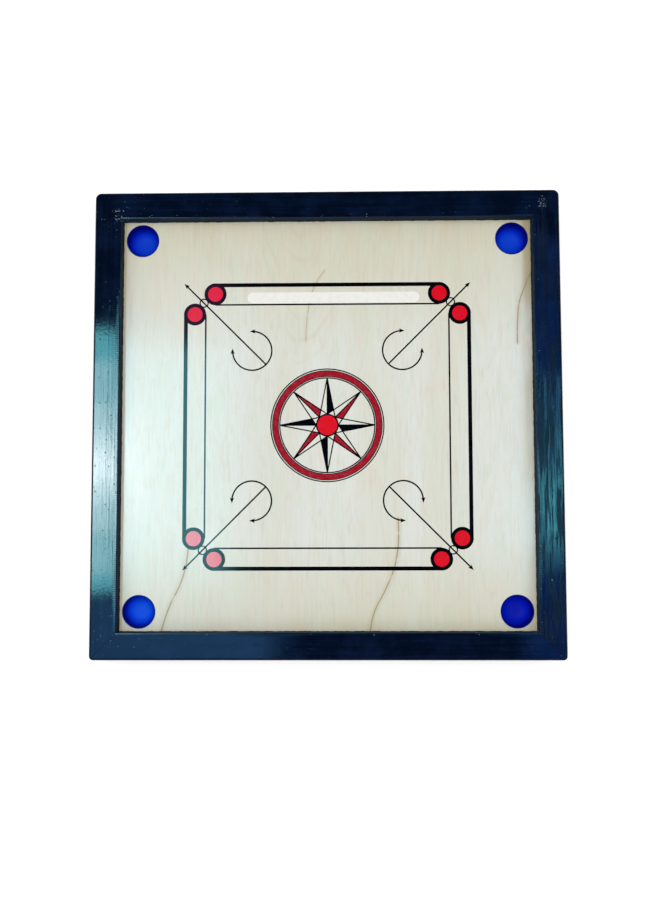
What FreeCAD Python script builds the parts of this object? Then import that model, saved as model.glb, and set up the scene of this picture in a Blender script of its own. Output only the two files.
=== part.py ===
"""Carrom board: a plywood playing panel held up in a mitred, rebated frame of painted wood.

Millimetres, +Z up out of the playing surface. The origin is the middle of the underside, and the
front of the board faces -Y. The panel seats from below against the shoulder of the rails' rebate,
and ledger strips clamp it there with screws that pass through strip and panel into the shoulder.
Two half-lapped battens, housed in the rails, stiffen it. Each corner has a moulded pocket cup
whose spigot lines its hole and whose flange is screwed up to the panel.
"""

import FreeCAD, Part
import math
import os

Vector = FreeCAD.Vector

# ---- Frame -----------------------------------------------------------------------------------
FIELD_SIDE = 584.0              # clear playing surface between the rails, square
RAIL_WIDTH = 38.0
RAIL_HEIGHT = 50.0
CUSHION_HEIGHT = 19.0           # rail top above the playing surface
FRONT_CORNER_RADIUS = 5.5       # hand-sanded corners, in plan
BACK_CORNER_RADIUS = 8.5
OUTER_EDGE_RADIUS = 3.0         # round-over of the top outer edge
CUSHION_EDGE_RADIUS = 1.6       # eased top inner edge
FOOT_CHAMFER = 1.2              # broken outer edge of the underside
REBATE_WIDTH = 10.0             # shoulder that the panel bears against

# ---- Playing panel ---------------------------------------------------------------------------
PANEL_THICKNESS = 6.0
PANEL_EDGE_CLEARANCE = 0.5      # between the panel's edge and the rebate

# ---- Pocket cups -----------------------------------------------------------------------------
POCKET_BORE = 44.5              # clear diameter of the mouth
POCKET_CENTRE_FROM_RAIL = 27.1  # hole centre to each cushion
CUP_WALL = 1.2
CUP_HOLE_CLEARANCE = 0.15       # radial, spigot in the panel's hole
SPIGOT_BELOW_FIELD = 0.4        # the lip stops short of the playing surface
CUP_ABOVE_TABLE = 2.5
CUP_DRAFT = 3.0                 # degrees, bowl wall
CUP_BOTTOM_RADIUS = 16.0        # inside, between wall and floor
FLANGE_THICKNESS = 1.8
FLANGE_RADIUS = 28.0
LUG_COUNT = 4
LUG_RADIUS = 6.0                # rounded ears that take the screws
LUG_PITCH_RADIUS = 29.5
GUSSET_THICKNESS = 1.4          # webs under the flange, midway between the lugs
GUSSET_REACH = 3.6
GUSSET_DROP = 9.0

# ---- Battens and ledgers ---------------------------------------------------------------------
BATTEN_WIDTH = 40.0
BATTEN_THICKNESS = 15.0
BATTEN_HOUSING_DEPTH = 8.0
BATTEN_END_CLEARANCE = 0.3
BATTEN_SIDE_CLEARANCE = 0.2     # in the housings and in the half-lap
BATTEN_ARRIS = 2.0              # chamfer along the lower edges
LEDGER_SECTION = 12.0           # square strip
LEDGER_ARRIS = 2.5              # chamfer along its exposed edge
LEDGER_GAP = 4.0                # to the batten and to the cup's flange

# ---- Fasteners -------------------------------------------------------------------------------
WOOD_SCREW_RADIUS = 1.75
WOOD_SCREW_HEAD_RADIUS = 3.4
LEDGER_SCREW_LENGTH = 29.0
LEDGER_SCREWS_PER_STRIP = 2
LEDGER_SCREW_FROM_END = 40.0
LAP_SCREW_LENGTH = 13.0
POCKET_SCREW_RADIUS = 1.3
POCKET_SCREW_LENGTH = 6.2       # under the head
POCKET_SCREW_HEAD_RADIUS = 2.6
POCKET_SCREW_HEAD_HEIGHT = 1.7
POCKET_SCREW_CLEARANCE = 0.25   # radial, in the flange
NAIL_RADIUS = 1.4
NAIL_LENGTH = 58.0
NAIL_FROM_TOP = 13.0            # upper nail of a mitre
NAIL_FROM_FOOT = 14.0           # lower nail of a mitre

# ---- Worked out from the sizes above ---------------------------------------------------------
FIELD_HALF = FIELD_SIDE / 2
OUTER_HALF = FIELD_HALF + RAIL_WIDTH
REBATE_HALF = FIELD_HALF + REBATE_WIDTH
FIELD_Z = RAIL_HEIGHT - CUSHION_HEIGHT
PANEL_UNDERSIDE_Z = FIELD_Z - PANEL_THICKNESS
POCKET_OFFSET = FIELD_HALF - POCKET_CENTRE_FROM_RAIL
CUP_REACH = max(FLANGE_RADIUS, LUG_PITCH_RADIUS * math.sin(math.pi / LUG_COUNT) + LUG_RADIUS)
BATTEN_BOTTOM_Z = PANEL_UNDERSIDE_Z - BATTEN_THICKNESS
LEDGER_BOTTOM_Z = PANEL_UNDERSIDE_Z - LEDGER_SECTION
LEDGER_START = BATTEN_WIDTH / 2 + LEDGER_GAP
LEDGER_END = POCKET_OFFSET - CUP_REACH - LEDGER_GAP

ORIGIN = Vector(0, 0, 0)
UP = Vector(0, 0, 1)
CORNERS = {"front_left": (-1, -1), "front_right": (1, -1), "back_left": (-1, 1), "back_right": (1, 1)}
# Anticlockwise, each rail is the right-hand one turned about the board's centre. Its near and far
# ends take the names of the rails that they meet.
RAILS = ("right", "back", "left", "front")
RAIL_TURNS = {rail: 360.0 * place / len(RAILS) for place, rail in enumerate(RAILS)}
RAIL_ENDS = {rail: (RAILS[place - 1], RAILS[(place + 1) % len(RAILS)]) for place, rail in enumerate(RAILS)}


def square_block(half, bottom, top):
    """A square block centred on the Z axis."""
    return Part.makeBox(2 * half, 2 * half, top - bottom, Vector(-half, -half, bottom))


def polygon_face(points):
    """The flat face inside a closed polygon."""
    return Part.Face(Part.makePolygon(points + points[:1]))


def bar_along_y(section, start, end):
    """A straight bar along Y from its section's (x, z) points."""
    face = polygon_face([Vector(x, start, z) for x, z in section])
    return face.extrude(Vector(0, end - start, 0))


def turned(shape, degrees):
    """A copy turned about the board's centre."""
    copy = shape.copy()
    copy.rotate(ORIGIN, UP, degrees)
    return copy


def moved(shape, x, y, z=0.0):
    """A copy moved by x, y and z."""
    copy = shape.copy()
    copy.translate(Vector(x, y, z))
    return copy


def edges_where(shape, test):
    """The edges whose end points all pass a test."""
    return [edge for edge in shape.Edges if all(test(vertex.Point) for vertex in edge.Vertexes)]


# ---- Fasteners: screws stand on +Z, with the head's face or its seat at the origin --------------
def revolved(profile):
    """A solid turned about Z from (radius, height) points."""
    face = polygon_face([Vector(radius, 0, height) for radius, height in profile])
    return face.revolve(ORIGIN, UP, 360)


def wood_screw(length):
    """A countersunk screw with the face of its head on Z = 0."""
    head_depth = WOOD_SCREW_HEAD_RADIUS - WOOD_SCREW_RADIUS
    return revolved([
        (0, 0),
        (WOOD_SCREW_HEAD_RADIUS, 0),
        (WOOD_SCREW_RADIUS, head_depth),
        (WOOD_SCREW_RADIUS, length),
        (0, length),
    ])


def pocket_screw():
    """A pan-head screw whose head bears on Z = 0 from below."""
    return revolved([
        (0, -POCKET_SCREW_HEAD_HEIGHT),
        (POCKET_SCREW_HEAD_RADIUS, -POCKET_SCREW_HEAD_HEIGHT),
        (POCKET_SCREW_HEAD_RADIUS, 0),
        (POCKET_SCREW_RADIUS, 0),
        (POCKET_SCREW_RADIUS, POCKET_SCREW_LENGTH),
        (0, POCKET_SCREW_LENGTH),
    ])


def nail_from_front(x, z):
    """A lost-head nail driven along +Y until it is flush with the outer face of the front rail."""
    return Part.makeCylinder(NAIL_RADIUS, NAIL_LENGTH, Vector(x, -OUTER_HALF, z), Vector(0, 1, 0))


def make_frame_nails():
    """Two nails through each mitre from the front and back, and one into each end of a batten."""
    middle_of_side_rail = OUTER_HALF - RAIL_WIDTH / 2
    middle_of_batten = BATTEN_BOTTOM_Z + BATTEN_THICKNESS / 2
    mitre = [
        nail_from_front(x, z)
        for x in (-middle_of_side_rail, middle_of_side_rail)
        for z in (NAIL_FROM_FOOT, RAIL_HEIGHT - NAIL_FROM_TOP)
    ]
    batten = nail_from_front(0, middle_of_batten)
    nails = [turned(nail, degrees) for degrees in (0, 180) for nail in mitre]
    return nails + [turned(batten, degrees) for degrees in RAIL_TURNS.values()]


def make_ledger_screws():
    """Evenly spaced screws up through every ledger strip, on the middle of the shoulder."""
    screw = wood_screw(LEDGER_SCREW_LENGTH)
    run = LEDGER_END - LEDGER_START - 2 * LEDGER_SCREW_FROM_END
    pitch = run / (LEDGER_SCREWS_PER_STRIP - 1)
    along = [LEDGER_START + LEDGER_SCREW_FROM_END + i * pitch for i in range(LEDGER_SCREWS_PER_STRIP)]
    x = FIELD_HALF + REBATE_WIDTH / 2
    one_rail = [moved(screw, x, side * y, LEDGER_BOTTOM_Z) for side in (-1, 1) for y in along]
    return [turned(one, degrees) for degrees in RAIL_TURNS.values() for one in one_rail]


def lug_angles():
    """Directions of a cup's lugs in degrees, on the diagonals between the rails."""
    return [360.0 * (i + 0.5) / LUG_COUNT for i in range(LUG_COUNT)]


def at_lugs(shape):
    """Copies of a shape at the lugs of a cup that is centred on the Z axis."""
    outermost = moved(shape, LUG_PITCH_RADIUS, 0)
    return [turned(outermost, degrees) for degrees in lug_angles()]


def at_pocket(shape, corner):
    """A copy moved from the Z axis to the pocket in a named corner."""
    x_sign, y_sign = CORNERS[corner]
    return moved(shape, x_sign * POCKET_OFFSET, y_sign * POCKET_OFFSET)


def make_pocket_screws():
    """One screw up through each lug of each cup."""
    screws = at_lugs(moved(pocket_screw(), 0, 0, PANEL_UNDERSIDE_Z - FLANGE_THICKNESS))
    return [at_pocket(screw, corner) for corner in CORNERS for screw in screws]


# ---- Battens and ledgers -----------------------------------------------------------------------
def make_battens(lap_screw):
    """The two crossed battens, each with half of the lap cut away."""
    half = BATTEN_WIDTH / 2
    length = REBATE_HALF + BATTEN_HOUSING_DEPTH - BATTEN_END_CLEARANCE
    section = [
        (-half, PANEL_UNDERSIDE_Z),
        (-half, BATTEN_BOTTOM_Z + BATTEN_ARRIS),
        (-half + BATTEN_ARRIS, BATTEN_BOTTOM_Z),
        (half - BATTEN_ARRIS, BATTEN_BOTTOM_Z),
        (half, BATTEN_BOTTOM_Z + BATTEN_ARRIS),
        (half, PANEL_UNDERSIDE_Z),
    ]
    blank = bar_along_y(section, -length, length)
    lap_z = PANEL_UNDERSIDE_Z - BATTEN_THICKNESS / 2
    notch_half = half + BATTEN_SIDE_CLEARANCE
    lower_notch = square_block(notch_half, BATTEN_BOTTOM_Z - 1, lap_z)
    upper_notch = square_block(notch_half, lap_z, PANEL_UNDERSIDE_Z + 1)
    return {
        "batten_lengthwise": blank.cut(lower_notch).cut(lap_screw),
        "batten_crosswise": turned(blank, 90).cut(upper_notch).cut(lap_screw),
    }


def make_ledgers(ledger_screws):
    """Two strips along each rail, one either side of the batten."""
    inner = REBATE_HALF - LEDGER_SECTION
    section = [
        (REBATE_HALF, PANEL_UNDERSIDE_Z),
        (inner, PANEL_UNDERSIDE_Z),
        (inner, LEDGER_BOTTOM_Z + LEDGER_ARRIS),
        (inner + LEDGER_ARRIS, LEDGER_BOTTOM_Z),
        (REBATE_HALF, LEDGER_BOTTOM_Z),
    ]
    strips = (
        bar_along_y(section, -LEDGER_END, -LEDGER_START),
        bar_along_y(section, LEDGER_START, LEDGER_END),
    )
    ledgers = {}
    for rail, degrees in RAIL_TURNS.items():
        for end, strip in zip(RAIL_ENDS[rail], strips):
            ledgers["ledger_" + rail + "_" + end] = turned(strip, degrees).cut(ledger_screws)
    return ledgers


# ---- Pocket cups -------------------------------------------------------------------------------
def bowl(offset, lip_z):
    """The bowl's solid of revolution, grown outwards from the clear inside by an offset.

    A straight mouth lines the panel's hole. Below it a drafted wall runs into an arc that meets
    the flat floor.
    """
    draft = math.radians(CUP_DRAFT)
    mouth = POCKET_BORE / 2 + offset
    floor_z = CUP_ABOVE_TABLE + CUP_WALL - offset
    arc = CUP_BOTTOM_RADIUS + offset
    centre_z = floor_z + arc
    wall_there = mouth - (PANEL_UNDERSIDE_Z - centre_z) * math.tan(draft)
    centre_x = wall_there - arc / math.cos(draft)

    def on_arc(angle):
        return Vector(centre_x + arc * math.cos(angle), 0, centre_z + arc * math.sin(angle))

    top = Vector(0, 0, lip_z)
    lip = Vector(mouth, 0, lip_z)
    root = Vector(mouth, 0, PANEL_UNDERSIDE_Z)
    bottom = Vector(0, 0, floor_z)
    wall_end = on_arc(-draft)
    floor_end = on_arc(-math.pi / 2)
    halfway = on_arc(-(draft + math.pi / 2) / 2)
    outline = [
        Part.LineSegment(top, lip),
        Part.LineSegment(lip, root),
        Part.LineSegment(root, wall_end),
        Part.Arc(wall_end, halfway, floor_end),
        Part.LineSegment(floor_end, bottom),
        Part.LineSegment(bottom, top),
    ]
    face = Part.Face(Part.Wire([line.toShape() for line in outline]))
    return face.revolve(ORIGIN, UP, 360)


def make_flange():
    """The flat flange with an ear round each screw hole, against the panel's underside."""
    bottom = Vector(0, 0, PANEL_UNDERSIDE_Z - FLANGE_THICKNESS)
    flange = Part.makeCylinder(FLANGE_RADIUS, FLANGE_THICKNESS, bottom)
    ear = Part.makeCylinder(LUG_RADIUS, FLANGE_THICKNESS, bottom)
    neck = Part.makeBox(LUG_PITCH_RADIUS, 2 * LUG_RADIUS, FLANGE_THICKNESS, bottom - Vector(0, LUG_RADIUS, 0))
    hole = Part.makeCylinder(POCKET_SCREW_RADIUS + POCKET_SCREW_CLEARANCE, FLANGE_THICKNESS, bottom)
    necks = [turned(neck, degrees) for degrees in lug_angles()]
    return flange.fuse(at_lugs(ear) + necks).removeSplitter().cut(at_lugs(hole))


def make_gussets():
    """Triangular webs from the flange down the bowl, midway between the lugs."""
    top = PANEL_UNDERSIDE_Z - FLANGE_THICKNESS
    root = POCKET_BORE / 2
    tip = POCKET_BORE / 2 + CUP_WALL + GUSSET_REACH
    profile = [
        Vector(root, -GUSSET_THICKNESS / 2, top),
        Vector(tip, -GUSSET_THICKNESS / 2, top),
        Vector(root, -GUSSET_THICKNESS / 2, top - GUSSET_DROP),
    ]
    web = polygon_face(profile).extrude(Vector(0, GUSSET_THICKNESS, 0))
    return [turned(web, degrees - 180.0 / LUG_COUNT) for degrees in lug_angles()]


def make_cup():
    """One moulded pocket cup, centred on the Z axis."""
    lip_z = FIELD_Z - SPIGOT_BELOW_FIELD
    body = bowl(CUP_WALL, lip_z).fuse([make_flange()] + make_gussets())
    return body.removeSplitter().cut(bowl(0, lip_z + CUP_WALL))


# ---- Panel and frame ---------------------------------------------------------------------------
def make_panel(screws):
    """The plywood panel with its pocket holes and screw holes."""
    panel = square_block(REBATE_HALF - PANEL_EDGE_CLEARANCE, PANEL_UNDERSIDE_Z, FIELD_Z)
    radius = POCKET_BORE / 2 + CUP_WALL + CUP_HOLE_CLEARANCE
    hole = Part.makeCylinder(radius, PANEL_THICKNESS, Vector(0, 0, PANEL_UNDERSIDE_Z))
    return panel.cut([at_pocket(hole, corner) for corner in CORNERS]).cut(screws)


def make_frame():
    """The whole frame in one piece: rounded outside, cushion and rebate inside, housings cut."""
    frame = square_block(OUTER_HALF, 0, RAIL_HEIGHT)
    for radius, is_this_end in (
        (FRONT_CORNER_RADIUS, lambda point: point.y < 0),
        (BACK_CORNER_RADIUS, lambda point: point.y > 0),
    ):
        upright = [edge for edge in edges_where(frame, is_this_end) if abs(edge.tangentAt(0).z) > 0.5]
        frame = frame.makeFillet(radius, upright)
    frame = frame.makeFillet(OUTER_EDGE_RADIUS, edges_where(frame, lambda p: p.z > RAIL_HEIGHT - 1e-6))
    frame = frame.makeChamfer(FOOT_CHAMFER, edges_where(frame, lambda p: p.z < 1e-6))
    frame = frame.cut(square_block(FIELD_HALF, -1, RAIL_HEIGHT + 1))
    cushion_top = edges_where(
        frame,
        lambda p: p.z > RAIL_HEIGHT - 1e-6 and max(abs(p.x), abs(p.y)) < FIELD_HALF + 1e-6,
    )
    frame = frame.makeFillet(CUSHION_EDGE_RADIUS, cushion_top)
    frame = frame.cut(square_block(REBATE_HALF, -1, FIELD_Z))
    width = BATTEN_WIDTH + 2 * BATTEN_SIDE_CLEARANCE
    housing = Part.makeBox(
        BATTEN_HOUSING_DEPTH + REBATE_WIDTH,
        width,
        BATTEN_THICKNESS,
        Vector(FIELD_HALF, -width / 2, BATTEN_BOTTOM_Z),
    )
    return frame.cut([turned(housing, degrees) for degrees in RAIL_TURNS.values()])


def make_rails(fasteners):
    """The frame parted along its mitres into four rails, with the fasteners' holes."""
    reach = 2 * OUTER_HALF
    mitre = polygon_face([Vector(0, 0, -1), Vector(reach, -reach, -1), Vector(reach, reach, -1)])
    wedge = mitre.extrude(Vector(0, 0, RAIL_HEIGHT + 2))
    frame = make_frame().cut(fasteners)
    return {"rail_" + name: frame.common(turned(wedge, turn)) for name, turn in RAIL_TURNS.items()}


def build():
    """Every node of the board by name."""
    frame_nails = make_frame_nails()
    ledger_screws = make_ledger_screws()
    pocket_screws = make_pocket_screws()
    lap_screw = moved(wood_screw(LAP_SCREW_LENGTH), 0, 0, BATTEN_BOTTOM_Z)
    cup = make_cup()
    nodes = make_rails(frame_nails + ledger_screws)
    nodes["playing_panel"] = make_panel(ledger_screws + pocket_screws)
    for name, batten in make_battens(lap_screw).items():
        nodes[name] = batten.cut(frame_nails)
    nodes.update(make_ledgers(ledger_screws))
    for corner in CORNERS:
        nodes["pocket_cup_" + corner] = at_pocket(cup, corner)
    nodes["frame_nails"] = Part.makeCompound(frame_nails)
    nodes["ledger_screws"] = Part.makeCompound(ledger_screws)
    nodes["pocket_screws"] = Part.makeCompound(pocket_screws)
    nodes["lap_screw"] = lap_screw
    return nodes


os.makedirs("parts", exist_ok=True)
for node, shape in build().items():
    shape.exportStep("parts/" + node + ".step")
    print(node, len(shape.Solids), "solids", round(shape.Volume / 1000, 1), "cm3")
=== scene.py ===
"""Looks of the carrom board: enamel, lacquer, print, moulded plastic and timber.

Metres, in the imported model's frame: +Z up out of the playing surface, front towards -Y, and the
origin in the middle of the underside. Print sizes are written in millimetres times MM.
"""

import functools
import logging
import math
from dataclasses import dataclass
from enum import Enum
from typing import Iterable, Optional, Sequence, Union

import bpy
from bpy.types import ID, Material, Mesh, Node, NodeSocket, NodeTree, Object
from mathutils import Matrix, Vector


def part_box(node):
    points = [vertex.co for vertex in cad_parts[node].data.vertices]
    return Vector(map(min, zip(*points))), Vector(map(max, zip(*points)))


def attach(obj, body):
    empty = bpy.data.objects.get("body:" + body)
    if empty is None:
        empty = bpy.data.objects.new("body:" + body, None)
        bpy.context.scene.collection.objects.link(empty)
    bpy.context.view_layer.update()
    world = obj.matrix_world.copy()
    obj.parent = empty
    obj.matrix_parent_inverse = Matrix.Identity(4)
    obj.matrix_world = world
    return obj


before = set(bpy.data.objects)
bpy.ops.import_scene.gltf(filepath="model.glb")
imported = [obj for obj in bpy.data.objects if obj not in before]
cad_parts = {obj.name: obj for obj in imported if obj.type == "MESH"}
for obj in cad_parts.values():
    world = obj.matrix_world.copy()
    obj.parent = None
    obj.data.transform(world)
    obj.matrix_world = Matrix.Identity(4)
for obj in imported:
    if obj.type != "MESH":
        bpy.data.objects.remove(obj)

Colour = tuple[float, float, float, float]
Point = tuple[float, float]
Feed = Union[float, int, bool, tuple, Vector, NodeSocket, Material]

MM = 0.001
BODY = "root"
LOG = logging.getLogger("carrom_board")
WHITE: Colour = (1.0, 1.0, 1.0, 1.0)
CENTRE: Point = (0.0, 0.0)
SIDES = 4


class Slot(Enum):
    """Names of material slots, held by each ink but not given to any piece."""

    FRAME_PAINT = "frame_paint"
    BLACK_INK = "ink_black"
    RED_INK = "ink_red"
    CREAM_INK = "ink_cream"


class Axis(Enum):
    """The way that a piece's grain or brush marks run."""

    ALONG_X = "x"
    ALONG_Y = "y"

    def stretch(self, along: float, across: float) -> tuple[float, float, float]:
        """Noise scales for marks that run along this axis.

        Args:
            along: Scale along the marks.
            across: Scale across the marks.

        Returns:
            The scale for each of X, Y and Z.
        """
        if self is Axis.ALONG_X:
            return (along, across, across)
        return (across, along, across)


def srgb(red: int, green: int, blue: int) -> Colour:
    """Turns a display colour into linear values.

    Args:
        red: Red from 0 to 255.
        green: Green from 0 to 255.
        blue: Blue from 0 to 255.

    Returns:
        The linear colour with full alpha.
    """

    def linear(channel: int) -> float:
        """One channel's linear value."""
        share = channel / 255
        return share / 12.92 if share <= 0.04045 else ((share + 0.055) / 1.055) ** 2.4

    return (linear(red), linear(green), linear(blue), 1.0)


# ---- Node trees --------------------------------------------------------------------------------
class Tree:
    """Short calls for wiring a node tree of either kind."""

    def __init__(self, tree: NodeTree) -> None:
        """Takes over a tree and empties it."""
        self.tree = tree
        self.tree.nodes.clear()

    def add(self, kind: str, feeds: Optional[dict] = None, **settings: object) -> Node:
        """Adds a node.

        Args:
            kind: The node's type.
            feeds: What goes into its inputs, by name or number: a value or another socket.
            **settings: Properties of the node.

        Returns:
            The new node.
        """
        node = self.tree.nodes.new(kind)
        for name, value in settings.items():
            setattr(node, name, value)
        for key, value in (feeds or {}).items():
            self.feed(node.inputs[key], value)
        return node

    def made(self, kind: str, feeds: Optional[dict] = None, **settings: object) -> NodeSocket:
        """Adds a node, as add does, and gives its first output."""
        return self.add(kind, feeds, **settings).outputs[0]

    def feed(self, socket: NodeSocket, value: Feed) -> None:
        """Links a socket into an input, or sets the input's own value.

        Args:
            socket: The input to fill.
            value: A socket to link from, or a plain value.
        """
        if isinstance(value, NodeSocket):
            self.tree.links.new(value, socket)
        else:
            socket.default_value = value

    def math(self, operation: str, first: Feed, second: Feed = 0.0) -> NodeSocket:
        """One step of arithmetic on numbers or sockets."""
        return self.made("ShaderNodeMath", {0: first, 1: second}, operation=operation)

    def times(self, first: Feed, second: Feed) -> NodeSocket:
        """The product of two values."""
        return self.math("MULTIPLY", first, second)

    def plus(self, first: Feed, second: Feed) -> NodeSocket:
        """The sum of two values."""
        return self.math("ADD", first, second)

    def minus(self, first: Feed, second: Feed) -> NodeSocket:
        """The first value less the second."""
        return self.math("SUBTRACT", first, second)

    def larger(self, first: Feed, second: Feed) -> NodeSocket:
        """The larger of two values."""
        return self.math("MAXIMUM", first, second)

    def absolute(self, value: Feed) -> NodeSocket:
        """A value without its sign."""
        return self.math("ABSOLUTE", value)

    def weighted(self, *parts: tuple[Feed, float]) -> NodeSocket:
        """The sum of values, each times its weight."""
        return functools.reduce(self.plus, [self.times(value, weight) for value, weight in parts])

    def tint(self, value: Feed, stops: Sequence[tuple[float, Colour]]) -> NodeSocket:
        """A colour ramp over 0 to 1.

        Args:
            value: What the ramp reads.
            stops: Pairs of place and colour, lowest place first.

        Returns:
            The colour.
        """
        ramp = self.add("ShaderNodeValToRGB", {0: value})
        elements = ramp.color_ramp.elements
        for place, _ in stops[1:-1]:
            elements.new(place)
        for element, (place, colour) in zip(elements, stops):
            element.position = place
            element.color = colour
        return ramp.outputs[0]

    def seen_directly(self) -> NodeSocket:
        """1 for rays that show what they meet, and 0 for those that only gather its light.

        Returns:
            The mask.
        """
        rays = self.add("ShaderNodeLightPath").outputs
        shown = self.larger(rays["Is Camera Ray"], rays["Is Glossy Ray"])
        return self.larger(shown, rays["Is Transmission Ray"])


class Shader(Tree):
    """A material's tree, with the steps that its finishes share."""

    def __init__(self, name: str) -> None:
        """Makes an empty material and takes over its tree.

        Args:
            name: The material's name.
        """
        self.material = bpy.data.materials.new(name)
        self.material.use_nodes = True
        super().__init__(self.material.node_tree)
        self.place = self.add("ShaderNodeTexCoord").outputs["Object"]
        apart = self.add("ShaderNodeSeparateXYZ", {0: self.place})
        self.x, self.y, self.z = apart.outputs

    def upward(self) -> NodeSocket:
        """How far the surface faces up: 1 when level, 0 upright and -1 when it faces down."""
        normal = self.add("ShaderNodeTexCoord").outputs["Normal"]
        return self.add("ShaderNodeSeparateXYZ", {0: normal}).outputs[2]

    def stretched(self, scale: Sequence[float], offset: float = 0.0) -> NodeSocket:
        """The place on the board, scaled for a pattern.

        Args:
            scale: Factors for X, Y and Z.
            offset: A shift that gives each use its own part of the pattern.

        Returns:
            The scaled place.
        """
        feeds = {"Vector": self.place, "Scale": tuple(scale), "Location": (offset, offset, offset)}
        return self.made("ShaderNodeMapping", feeds)

    def noise(
        self,
        scale: Sequence[float],
        detail: float = 2.0,
        roughness: float = 0.5,
        distortion: float = 0.0,
        offset: float = 0.0,
    ) -> NodeSocket:
        """Cloudy noise from 0 to 1.

        Args:
            scale: Factors for X, Y and Z, in clouds for each metre.
            detail: Number of finer layers.
            roughness: Strength of the finer layers.
            distortion: How far the clouds are pulled about.
            offset: A shift that gives each use its own part of the pattern.

        Returns:
            The noise.
        """
        feeds = {"Vector": self.stretched(scale, offset), "Scale": 1.0, "Detail": detail}
        feeds.update({"Roughness": roughness, "Distortion": distortion})
        return self.made("ShaderNodeTexNoise", feeds)

    def between(self, value: Feed, start: float, end: float, top: float = 1.0) -> NodeSocket:
        """A smooth step: 0 at start and the top at end, either way round."""
        feeds = {0: value, 1: start, 2: end, 3: 0.0, 4: top}
        return self.made("ShaderNodeMapRange", feeds, interpolation_type="SMOOTHSTEP")

    def band(self, value: Feed, low: float, high: float, soft: float) -> NodeSocket:
        """A mask that is 1 from low to high and fades over a soft width beyond.

        Args:
            value: What is measured.
            low: Where the band starts.
            high: Where the band ends.
            soft: The width over which the mask fades beyond either end.

        Returns:
            The mask, from 0 to 1.
        """
        rise = self.between(value, low - soft, low)
        fall = self.between(value, high + soft, high)
        return self.times(rise, fall)

    def blend(self, share: Feed, first: Feed, second: Feed, way: str = "MIX") -> NodeSocket:
        """Mixes two colours.

        Args:
            share: How much of the second, from 0 to 1.
            first: The colour below.
            second: The colour on top.
            way: The blend type.

        Returns:
            The mixed colour.
        """
        feeds = {0: share, 6: first, 7: second}
        return self.add("ShaderNodeMix", feeds, data_type="RGBA", blend_type=way).outputs[2]

    def coats(self, colour: Feed, *coats: tuple[Feed, Colour]) -> NodeSocket:
        """Lays colours over a first one in turn, each with its own share.

        Args:
            colour: The first colour.
            *coats: Pairs of a share and the colour laid with it.

        Returns:
            The finished colour.
        """
        for share, over in coats:
            colour = self.blend(share, colour, over)
        return colour

    def path(self, value: Feed, points: Sequence[Point]) -> NodeSocket:
        """A smooth curve through points whose coordinates run from 0 to 1.

        Args:
            value: Where along the curve to read it, from 0 to 1.
            points: The curve's points, from left to right.

        Returns:
            The curve's height there.
        """
        node = self.add("ShaderNodeFloatCurve", {"Factor": 1.0, "Value": value})
        curve = node.mapping.curves[0]
        for index, (at, height) in enumerate(points):
            if index < len(curve.points):
                curve.points[index].location = (at, height)
            else:
                curve.points.new(at, height)
        node.mapping.update()
        return node.outputs[0]

    def cells(self, spacing: float, offset: float) -> tuple[NodeSocket, Sequence[NodeSocket]]:
        """Scattered cells, for dots and lumps.

        Args:
            spacing: Metres between cells.
            offset: A shift that gives each use its own cells.

        Returns:
            The distance to the nearest cell's middle, in spacings, and that cell's own chances.
        """
        feeds = {"Vector": self.stretched((1 / spacing,) * 3, offset), "Scale": 1.0}
        voronoi = self.add("ShaderNodeTexVoronoi", feeds).outputs
        return voronoi["Distance"], self.add("ShaderNodeSeparateColor", {0: voronoi["Color"]}).outputs

    def dots(self, spacing: float, size: float, offset: float = 0.0) -> NodeSocket:
        """A mask of scattered dots up to a radius of size, about half of the cells left empty."""
        distance, chances = self.cells(spacing, offset)
        return self.math("LESS_THAN", distance, self.between(chances[0], 0.5, 1.0, size / spacing))

    def domes(self, spacing: float, size: float, offset: float = 0.0) -> NodeSocket:
        """The height, from 0 to 1, of scattered low domes with a radius of size."""
        distance, chances = self.cells(spacing, offset)
        return self.times(self.between(distance, size / spacing, 0.0), self.between(chances[1], 0.35, 0.9))

    def bump(self, height: Feed, depth: float) -> NodeSocket:
        """A bumped surface direction from a height of 0 to 1 and its depth in metres."""
        feeds = {"Height": height, "Distance": depth, "Strength": 1.0}
        return self.made("ShaderNodeBump", feeds)

    def finish(self, **inputs: Feed) -> Material:
        """Ends the tree in a Principled shader.

        Args:
            **inputs: The shader's inputs, with underscores for spaces.

        Returns:
            The finished material.
        """
        feeds = {name.replace("_", " "): value for name, value in inputs.items()}
        shader = self.made("ShaderNodeBsdfPrincipled", feeds)
        self.add("ShaderNodeOutputMaterial", {"Surface": shader})
        return self.material


# ---- The model's own sizes ---------------------------------------------------------------------
@dataclass(frozen=True)
class BoardSizes:
    """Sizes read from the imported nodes, in metres."""

    field_half: float
    outer_half: float
    field_z: float
    panel_under_z: float
    rail_top: float

    @classmethod
    def from_model(cls) -> "BoardSizes":
        """Reads the sizes from the nodes' boxes.

        Returns:
            The sizes that the dressing is fitted to.
        """
        rail_low, rail_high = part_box("rail_right")
        panel_low, panel_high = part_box("playing_panel")
        return cls(
            field_half=rail_low.x,
            outer_half=rail_high.x,
            field_z=panel_high.z,
            panel_under_z=panel_low.z,
            rail_top=rail_high.z,
        )


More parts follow.
